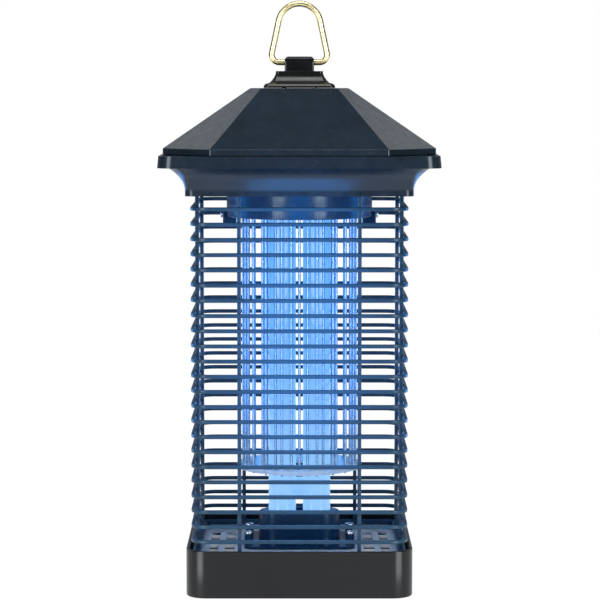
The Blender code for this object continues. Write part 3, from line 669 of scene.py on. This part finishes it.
roof_low, roof_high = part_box("roof_cover")
EAVE_FACE = 0.0500
EAVE_TOP = 0.2563
RIDGE_HALF = 0.0286
RIDGE_FACE = 0.0221
ROOF_WALL = 0.0022
BORE_TOP = 0.2620
BOSSES = [(x * ROOF_SCREW, y * ROOF_SCREW) for x, y in QUARTERS]
roof_shell = eight_sided("roof_shell", roof_high.x, EAVE_FACE, roof_low.z, EAVE_TOP)
select_where(at_height(EAVE_TOP), "FACE")
extrude(roof_high.z - EAVE_TOP)
narrow_top(roof_high.z, roof_high.x, EAVE_FACE, RIDGE_HALF, RIDGE_FACE)
round_corners(0.0008, 4)
inner_half = roof_high.x - ROOF_WALL
inner_face = EAVE_FACE - 0.0010
roof_hollow = eight_sided("roof_hollow", inner_half, inner_face, roof_low.z - 0.003, EAVE_TOP - 0.0012)
select_where(at_height(EAVE_TOP - 0.0012), "FACE")
hollow_top = roof_high.z - 0.0024
extrude(hollow_top - EAVE_TOP + 0.0012)
narrow_top(hollow_top, inner_half, inner_face, RIDGE_HALF - 0.0006, RIDGE_FACE - 0.0004)
close_edit()
for spot in BOSSES:
    boss = add_rod("roof_boss", 0.0040, roof_low.z - 0.004, roof_high.z, 24, spot)
    with_tool(roof_hollow, boss, "DIFFERENCE")
with_tool(roof_shell, roof_hollow, "DIFFERENCE")
for spot in BOSSES:
    bore = add_rod("boss_bore", 0.0017, roof_low.z - 0.006, BORE_TOP, 16, spot)
    with_tool(roof_shell, bore, "DIFFERENCE")
soften(roof_shell, 0.00025, 2, 14.0)
fit(roof_shell, head_plastic, "lantern", "housing", "roof_cover")


# Finial: a square plinth with a hollowed side that closes the top of the roof.
# The lug on it has a cross hole that the hanging ring's foot turns in.
finial_low, finial_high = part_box("finial")
PLINTH_HALF = finial_high.x
NECK_HALF = 0.0137
COVE_FOOT = 0.2934
COVE_HEAD = 0.2992
FINIAL_TOP = 0.3001
NECK_STEPS = 8
PLINTH_EDGE = 0.0010
PLINTH_SLOPE = 0.0012
plinth = add_block("finial_plinth", PLINTH_HALF, PLINTH_HALF, finial_low.z, finial_low.z + PLINTH_EDGE)
round_corners(0.0030, 8)
select_where(at_height(finial_low.z + PLINTH_EDGE), "FACE")
half_now = PLINTH_HALF - 0.0008
extrude(PLINTH_SLOPE, half_now / PLINTH_HALF)
for step in range(NECK_STEPS + 1):
    share = step / NECK_STEPS
    half_next = NECK_HALF + 0.0036 * (1 - share) ** 1.6
    first_lift = COVE_FOOT - finial_low.z - PLINTH_EDGE - PLINTH_SLOPE
    lift = first_lift if step == 0 else (COVE_HEAD - COVE_FOOT) / NECK_STEPS
    extrude(lift, half_next / half_now)
    half_now = half_next
extrude(FINIAL_TOP - COVE_HEAD)
close_edit()
LUG_HALF = 0.0086
LUG_DEPTH = 0.0046
LUG_SIDE = LUG_DEPTH - 0.0006
LUG_INSET = 0.0012
lug = add_block("finial_lug", LUG_HALF, LUG_SIDE, FINIAL_TOP - 0.0020, finial_high.z)
at_lug_top = at_height(finial_high.z)
select_where(lambda points: at_lug_top(points) and all(abs(p.x) > LUG_HALF - 2e-6 for p in points), "EDGE")
bpy.ops.mesh.bevel(offset=0.0022, segments=6, affect="EDGES", clamp_overlap=False)
select_where(lambda points: all(p.y > LUG_SIDE - 2e-6 for p in points), "FACE")
bpy.ops.mesh.inset(thickness=LUG_INSET)
bpy.ops.transform.translate(value=(0.0, LUG_DEPTH - LUG_SIDE, 0.0))
select_where(lambda points: all(p.y < 2e-6 - LUG_SIDE for p in points), "FACE")
bpy.ops.mesh.inset(thickness=LUG_INSET)
bpy.ops.transform.translate(value=(0.0, LUG_SIDE - LUG_DEPTH, 0.0))
close_edit()
with_tool(plinth, lug, "UNION")
swing_axis = Vector(frame["joints"][0]["pos_m"])
WIRE_RADIUS = 0.00178
eye = add_rod("lug_eye", WIRE_RADIUS + 0.0003, -0.02, 0.02, 40)
close_edit()
eye.data.transform(Matrix.Translation(swing_axis) @ Matrix.Rotation(math.pi / 2, 4, "Y"))
with_tool(plinth, eye, "DIFFERENCE")
soften(plinth, 0.00035, 3, 30.0)
fit(plinth, charcoal, "lantern", "housing", "finial")


# Hanging ring: one length of pale brass-plated wire bent to a tapered loop and closed inside the lug.
# It swings to front and back, and the lantern hangs from a hook under its crown.
brass_wire = worked_metal("pale_brass_wire", (0.84, 0.74, 0.40), 0.24, (300.0, 300.0, 300.0), 0.02)

ring_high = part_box("hanging_ring")[1]
RING_HALF = 0.0162
RING_BEND = 0.0045
RING_CROWN = 0.0124
crown_z = ring_high.z - WIRE_RADIUS - RING_CROWN
lean = math.atan2(RING_HALF - RING_CROWN, crown_z - swing_axis.z)
ring_route = []
for step in range(13):
    angle = -math.pi / 2 + (math.pi / 2 + lean) * step / 12
    ring_route.append((RING_HALF - RING_BEND + RING_BEND * math.cos(angle),
                       swing_axis.z + RING_BEND + RING_BEND * math.sin(angle)))
for step in range(25):
    angle = lean + (math.pi / 2 - lean) * step / 24
    ring_route.append((RING_CROWN * math.cos(angle), crown_z + RING_CROWN * math.sin(angle)))
ring_route += [(-x, z) for x, z in ring_route[-2::-1]]
ring_curve = bpy.data.curves.new("ring_wire", "CURVE")
ring_curve.dimensions = "3D"
ring_curve.bevel_depth = WIRE_RADIUS
ring_curve.bevel_resolution = 7
ring_path = ring_curve.splines.new("POLY")
ring_path.points.add(len(ring_route) - 1)
for point, (x, z) in zip(ring_path.points, ring_route):
    point.co = (x, 0.0, z, 1.0)
ring_path.use_cyclic_u = True
ring_wire = bpy.data.objects.new("ring_wire", ring_curve)
bpy.context.scene.collection.objects.link(ring_wire)
bpy.ops.object.select_all(action="DESELECT")
bpy.context.view_layer.objects.active = ring_wire
ring_wire.select_set(True)
bpy.ops.object.convert(target="MESH")
ring_wire = bpy.context.object
bpy.ops.object.shade_smooth()
fit(ring_wire, brass_wire, "hanging_ring", "ring_wire", "hanging_ring")


# Lamp hood: a round skirt under the head that hides the lamp's cap and the top of the grid.
# Two notches in its lower edge hold the clips that carry the grid.
# Near-black hood plastic; its deep blue base colour and blue reflection tint are painted lamp glow.
hood_plastic = moulded_plastic("hood_painted_blue_glow", (0.0045, 0.0300, 0.0850), (0.0080, 0.0430, 0.1150),
                               0.24, 0.08, 0.40, (0.72, 0.92, 1.0))

hood_low, hood_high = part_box("lamp_hood")
HOOD_WALL = 0.0020
hood_skirt = add_rod("hood_skirt", hood_high.x, hood_low.z, hood_high.z, 96)
select_where(at_height(hood_low.z), "FACE")
bpy.ops.mesh.inset(thickness=HOOD_WALL)
extrude(hood_high.z - HOOD_WALL - hood_low.z)
close_edit()
hood_mouth = add_rod("hood_mouth", 0.0270, hood_high.z - HOOD_WALL - 0.002, hood_high.z + 0.002, 64)
with_tool(hood_skirt, hood_mouth, "DIFFERENCE")
clip_low, clip_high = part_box("grid_hanger_right")
notch = add_block("hood_notch", 0.0500, 0.0047, hood_low.z - 0.0036, clip_high.z + 0.0003)
with_tool(hood_skirt, notch, "DIFFERENCE")
soften(hood_skirt, 0.0004, 3)
fit(hood_skirt, hood_plastic, "lantern", "inner_plastic", "lamp_hood")


# Grid clips: a small moulded block in each notch of the hood, with a cross screw into the upper plate.
# They take the weight of both rings of wires.
side_low, side_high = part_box("hanger_screw_right")
SIDE_SCREW_Z = (side_low.z + side_high.z) / 2
clip = add_block("grid_clip", (clip_high.x - clip_low.x) / 2, clip_high.y, clip_low.z, clip_high.z,
                 ((clip_low.x + clip_high.x) / 2, 0.0))
clip_bore = add_rod("clip_bore", 0.0014, clip_low.x - 0.002, clip_high.x + 0.002, 20)
close_edit()
clip_bore.data.transform(Matrix.Translation((0.0, 0.0, SIDE_SCREW_Z)) @ Matrix.Rotation(math.pi / 2, 4, "Y"))
with_tool(clip, clip_bore, "DIFFERENCE")
soften(clip, 0.0007, 3)
side_head = side_high.x - (clip_high.x + 0.0003)
side_screw = pan_screw("side_screw", 0.0010, 0.0021, side_low.x, side_high.x - side_head, side_high.x)
side_screw.data.transform(Matrix.Translation((0.0, 0.0, SIDE_SCREW_Z)) @ Matrix.Rotation(math.pi / 2, 4, "Y"))
for turn, word in ((0.0, "right"), (math.pi, "left")):
    half_turn = Matrix.Rotation(turn, 4, "Z")
    placed_clip = copy_of(clip, f"grid_clip_{word}")
    placed_clip.data.transform(half_turn)
    fit(placed_clip, dark_plastic, "lantern", "inner_plastic", f"grid_hanger_{word}")
    placed_screw = copy_of(side_screw, f"clip_screw_{word}")
    placed_screw.data.transform(half_turn)
    fit(placed_screw, plated_steel, "lantern", "screw", f"hanger_screw_{word}")
bpy.data.objects.remove(clip, do_unlink=True)
bpy.data.objects.remove(side_screw, do_unlink=True)


# Grid plates: two moulded discs that space the wires, a dark one in the hood and a milky one below.
# Every wire passes through a hole, with a small raised collar round it on the milky plate, and the lamp
# through the long window in the middle.
def milky_plastic(name, colour):
    """Clear insulating plastic gone milky: light passes, softened by a rough skin and faint clouds."""
    finish = bpy.data.materials.new(name)
    finish.use_nodes = True
    nodes = finish.node_tree.nodes
    links = finish.node_tree.links
    shader = nodes["Principled BSDF"]
    shader.inputs["IOR"].default_value = 1.49
    shader.inputs["Transmission Weight"].default_value = 0.70
    place = nodes.new("ShaderNodeTexCoord")
    clouds = nodes.new("ShaderNodeTexNoise")
    clouds.inputs["Scale"].default_value = 120.0
    clouds.inputs["Detail"].default_value = 5.0
    tone = nodes.new("ShaderNodeValToRGB")
    tone.color_ramp.elements[0].position = 0.30
    tone.color_ramp.elements[0].color = (*[part * 0.86 for part in colour], 1.0)
    tone.color_ramp.elements[1].position = 0.70
    tone.color_ramp.elements[1].color = (*colour, 1.0)
    skin = nodes.new("ShaderNodeMapRange")
    skin.inputs["To Min"].default_value = 0.28
    skin.inputs["To Max"].default_value = 0.48
    relief = nodes.new("ShaderNodeBump")
    relief.inputs["Strength"].default_value = 0.15
    relief.inputs["Distance"].default_value = 0.00006
    links.new(place.outputs["Object"], clouds.inputs["Vector"])
    links.new(clouds.outputs["Fac"], tone.inputs["Fac"])
    links.new(tone.outputs["Color"], shader.inputs["Base Color"])
    links.new(clouds.outputs["Fac"], skin.inputs["Value"])
    links.new(skin.outputs["Result"], shader.inputs["Roughness"])
    links.new(clouds.outputs["Fac"], relief.inputs["Height"])
    links.new(relief.outputs["Normal"], shader.inputs["Normal"])
    return finish


WIRES_PER_RING = 20
GRID_WIRE = 0.0008
INNER_RING = 0.0304
OUTER_RING = 0.0332
spread = 2 * math.pi / WIRES_PER_RING
outer_turns = [spread * i for i in range(WIRES_PER_RING)]
inner_turns = [spread * (i + 0.5) for i in range(WIRES_PER_RING)]
outer_spots = [(OUTER_RING * math.cos(turn), OUTER_RING * math.sin(turn)) for turn in outer_turns]
inner_spots = [(INNER_RING * math.cos(turn), INNER_RING * math.sin(turn)) for turn in inner_turns]


def spacer_plate(name, radius, low, high, collar):
    """Disc with the lamp's window and a hole for every wire, with a raised collar round each hole when collar
    is not zero.
    """
    plate = add_rod(name, radius, low, high, 96)
    window = add_block("lamp_window", 0.0215, 0.0115, low - 0.001, high + 0.001)
    round_corners(0.0110, 10)
    with_tool(plate, window, "DIFFERENCE")
    collars = []
    holes = []
    for spot in outer_spots + inner_spots:
        collars.append(add_rod("collar", 0.0017, low + 0.0004, high + collar, 14, spot))
        close_edit()
        holes.append(add_rod("hole", GRID_WIRE + 0.0003, low - 0.001, high + 0.002, 12, spot))
        close_edit()
    if collar:
        with_tool(plate, joined("collars", collars), "UNION")
    else:
        bpy.data.objects.remove(joined("collars", collars), do_unlink=True)
    with_tool(plate, joined("holes", holes), "DIFFERENCE")
    soften(plate, 0.0002)
    return plate


# The milky tone is the plate's own; its faint blue cast is painted lamp glow.
milky_insulator = milky_plastic("milky_insulator", (0.76, 0.89, 1.0))
upper_low, upper_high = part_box("grid_upper_insulator")
upper_plate = spacer_plate("upper_grid_plate", upper_high.x, upper_low.z, upper_high.z, 0.0)
fit(upper_plate, dark_plastic, "lantern", "inner_plastic", "grid_upper_insulator")
lower_low, lower_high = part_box("grid_lower_ring")
lower_plate = spacer_plate("lower_grid_plate", lower_high.x, lower_low.z, lower_high.z, 0.0006)
fit(lower_plate, milky_insulator, "lantern", "clear_insulator", "grid_lower_ring")


# Grid: twenty straight wires in an inner ring and twenty in an outer ring, the two poles of the grid.
# Each ring of bright drawn wire is welded at the top to its own flat contact ring inside the hood.
def wire_pole(name, spots, foot, node, ring_radius):
    """One pole: a flat contact ring with a wire welded under it at every spot."""
    pole_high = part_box(node)[1]
    contact = add_rod(name, ring_radius + 0.0018, pole_high.z - 0.0010, pole_high.z, 72)
    core = add_rod("contact_core", ring_radius - 0.0018, pole_high.z - 0.0030, pole_high.z + 0.0020, 72)
    with_tool(contact, core, "DIFFERENCE")
    soften(contact, 0.0001)
    wire = add_rod("grid_wire", GRID_WIRE, foot, pole_high.z - 0.0005, 14)
    select_where(at_height(foot), "EDGE")
    bpy.ops.mesh.bevel(offset=GRID_WIRE * 0.5, segments=2, affect="EDGES", clamp_overlap=False)
    soften(wire, 0.0)
    wires = []
    for spot in spots:
        placed = copy_of(wire, "placed_wire")
        placed.data.transform(Matrix.Translation((spot[0], spot[1], 0.0)))
        wires.append(placed)
    bpy.data.objects.remove(wire, do_unlink=True)
    return joined(name, [contact] + wires)


# Drawn steel wire; its blue metal colour is painted lamp light on the bare wire.
wire_painted_blue_glow = worked_metal("drawn_wire_painted_blue_glow", (0.26, 0.42, 0.64), 0.24, (2600.0, 2600.0, 40.0), 0.03)
wire_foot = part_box("live_grid")[0].z
live_pole = wire_pole("live_wires", inner_spots, wire_foot, "live_grid", INNER_RING)
fit(live_pole, wire_painted_blue_glow, "lantern", "grid_wire", "live_grid")
return_pole = wire_pole("return_wires", outer_spots, wire_foot, "return_grid", OUTER_RING + 0.0007)
fit(return_pole, wire_painted_blue_glow, "lantern", "grid_wire", "return_grid")


# Lamp: two parallel coated glass tubes, joined a little above the cup by a short glass bridge.
# The phosphor glows an even light blue, a little deeper towards the top where the grid shades it.
def lit_glass(name, low_glow, high_glow, low_z, high_z):
    """Phosphor-coated glass that glows, with a slow change of colour up the tube and faint clouds."""
    finish = bpy.data.materials.new(name)
    finish.use_nodes = True
    nodes = finish.node_tree.nodes
    links = finish.node_tree.links
    shader = nodes["Principled BSDF"]
    shader.inputs["Base Color"].default_value = (0.010, 0.020, 0.040, 1.0)
    shader.inputs["Emission Strength"].default_value = 1.0
    shader.inputs["Coat Weight"].default_value = 0.30
    place = nodes.new("ShaderNodeTexCoord")
    split = nodes.new("ShaderNodeSeparateXYZ")
    climb = nodes.new("ShaderNodeMapRange")
    climb.inputs["From Min"].default_value = low_z
    climb.inputs["From Max"].default_value = high_z
    coat = nodes.new("ShaderNodeTexNoise")
    coat.inputs["Scale"].default_value = 60.0
    coat.inputs["Detail"].default_value = 4.0
    uneven = nodes.new("ShaderNodeMapRange")
    uneven.inputs["To Min"].default_value = -0.10
    uneven.inputs["To Max"].default_value = 0.10
    total = nodes.new("ShaderNodeMath")
    total.operation = "ADD"
    tone = nodes.new("ShaderNodeValToRGB")
    tone.color_ramp.elements[0].position = 0.0
    tone.color_ramp.elements[0].color = (*low_glow, 1.0)
    tone.color_ramp.elements[1].position = 1.0
    tone.color_ramp.elements[1].color = (*high_glow, 1.0)
    skin = nodes.new("ShaderNodeMapRange")
    skin.inputs["To Min"].default_value = 0.08
    skin.inputs["To Max"].default_value = 0.22
    links.new(place.outputs["Object"], split.inputs["Vector"])
    links.new(place.outputs["Object"], coat.inputs["Vector"])
    links.new(split.outputs["Z"], climb.inputs["Value"])
    links.new(coat.outputs["Fac"], uneven.inputs["Value"])
    links.new(climb.outputs["Result"], total.inputs[0])
    links.new(uneven.outputs["Result"], total.inputs[1])
    links.new(total.outputs["Value"], tone.inputs["Fac"])
    links.new(tone.outputs["Color"], shader.inputs["Emission Color"])
    links.new(coat.outputs["Fac"], skin.inputs["Value"])
    links.new(skin.outputs["Result"], shader.inputs["Roughness"])
    return finish


glowing_glass = lit_glass("glowing_glass", (0.25, 0.54, 0.98), (0.12, 0.39, 0.90), 0.060, 0.150)
tube_low, tube_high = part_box("lamp_tubes")
TUBE_RADIUS = tube_high.y
TUBE_X = tube_high.x - TUBE_RADIUS
tubes = []
for side in (-1, 1):
    tube = add_rod("tube", TUBE_RADIUS, tube_low.z, tube_high.z, 48, (side * TUBE_X, 0.0))
    select_where(at_height(tube_low.z), "EDGE")
    bpy.ops.mesh.bevel(offset=TUBE_RADIUS * 0.6, segments=8, affect="EDGES", clamp_overlap=False)
    close_edit()
    tubes.append(tube)
BRIDGE_RADIUS = 0.0056
BRIDGE_Z = 0.0542
bridge_glass = add_rod("bridge_glass", BRIDGE_RADIUS, -TUBE_X, TUBE_X, 32)
close_edit()
bridge_glass.data.transform(Matrix.Translation((0.0, 0.0, BRIDGE_Z)) @ Matrix.Rotation(math.pi / 2, 4, "Y"))
with_tool(tubes[0], bridge_glass, "UNION")
with_tool(tubes[0], tubes[1], "UNION")
twin_tube = tubes[0]
twin_tube.name = "twin_tube"
soften(twin_tube, 0.0)
fit(twin_tube, glowing_glass, "lantern", "lamp_glass", "lamp_tubes")


# Inside the head: the lamp's cap, pins and socket, and the driver board with its parts and screws.
# These bought-in pieces keep their plain moulded shapes and get the finishes that such parts have.
def finish_nodes(finish, *names):
    """Give kept frame pieces a better finish."""
    for name in names:
        frame["nodes"][name].data.materials.clear()
        frame["nodes"][name].data.materials.append(finish)


off_white = moulded_plastic("off_white_cap", (0.60, 0.60, 0.57), (0.76, 0.76, 0.73), 0.40, 0.10)
green_board = moulded_plastic("green_board", (0.015, 0.075, 0.030), (0.030, 0.120, 0.050), 0.35, 0.12)
winding_tape = moulded_plastic("winding_tape", (0.46, 0.33, 0.06), (0.62, 0.47, 0.12), 0.38, 0.20)
dipped_red = moulded_plastic("dipped_red", (0.34, 0.05, 0.03), (0.48, 0.08, 0.05), 0.24, 0.08)
part_black = moulded_plastic("part_black", (0.010, 0.010, 0.012), (0.022, 0.022, 0.026), 0.36, 0.12)
pin_brass = worked_metal("pin_brass", (0.80, 0.62, 0.32), 0.22, (900.0, 900.0, 3000.0))
finish_nodes(off_white, "lamp_cap", "lamp_socket", "supply_terminals")
finish_nodes(pin_brass, "lamp_pin_1", "lamp_pin_2")
finish_nodes(green_board, "circuit_board")
finish_nodes(winding_tape, "transformer")
finish_nodes(dipped_red, "film_capacitor_left", "film_capacitor_right")
finish_nodes(part_black, "lamp_choke", "smoothing_capacitor_1", "smoothing_capacitor_2")
SCREW_COUNTS = {"board_screw": 4, "guard_screw": 4, "roof_screw": 4, "finial_screw": 2, "socket_screw": 2}
for word, count in SCREW_COUNTS.items():
    for number in range(1, count + 1):
        finish_nodes(plated_steel, f"{word}_{number}")
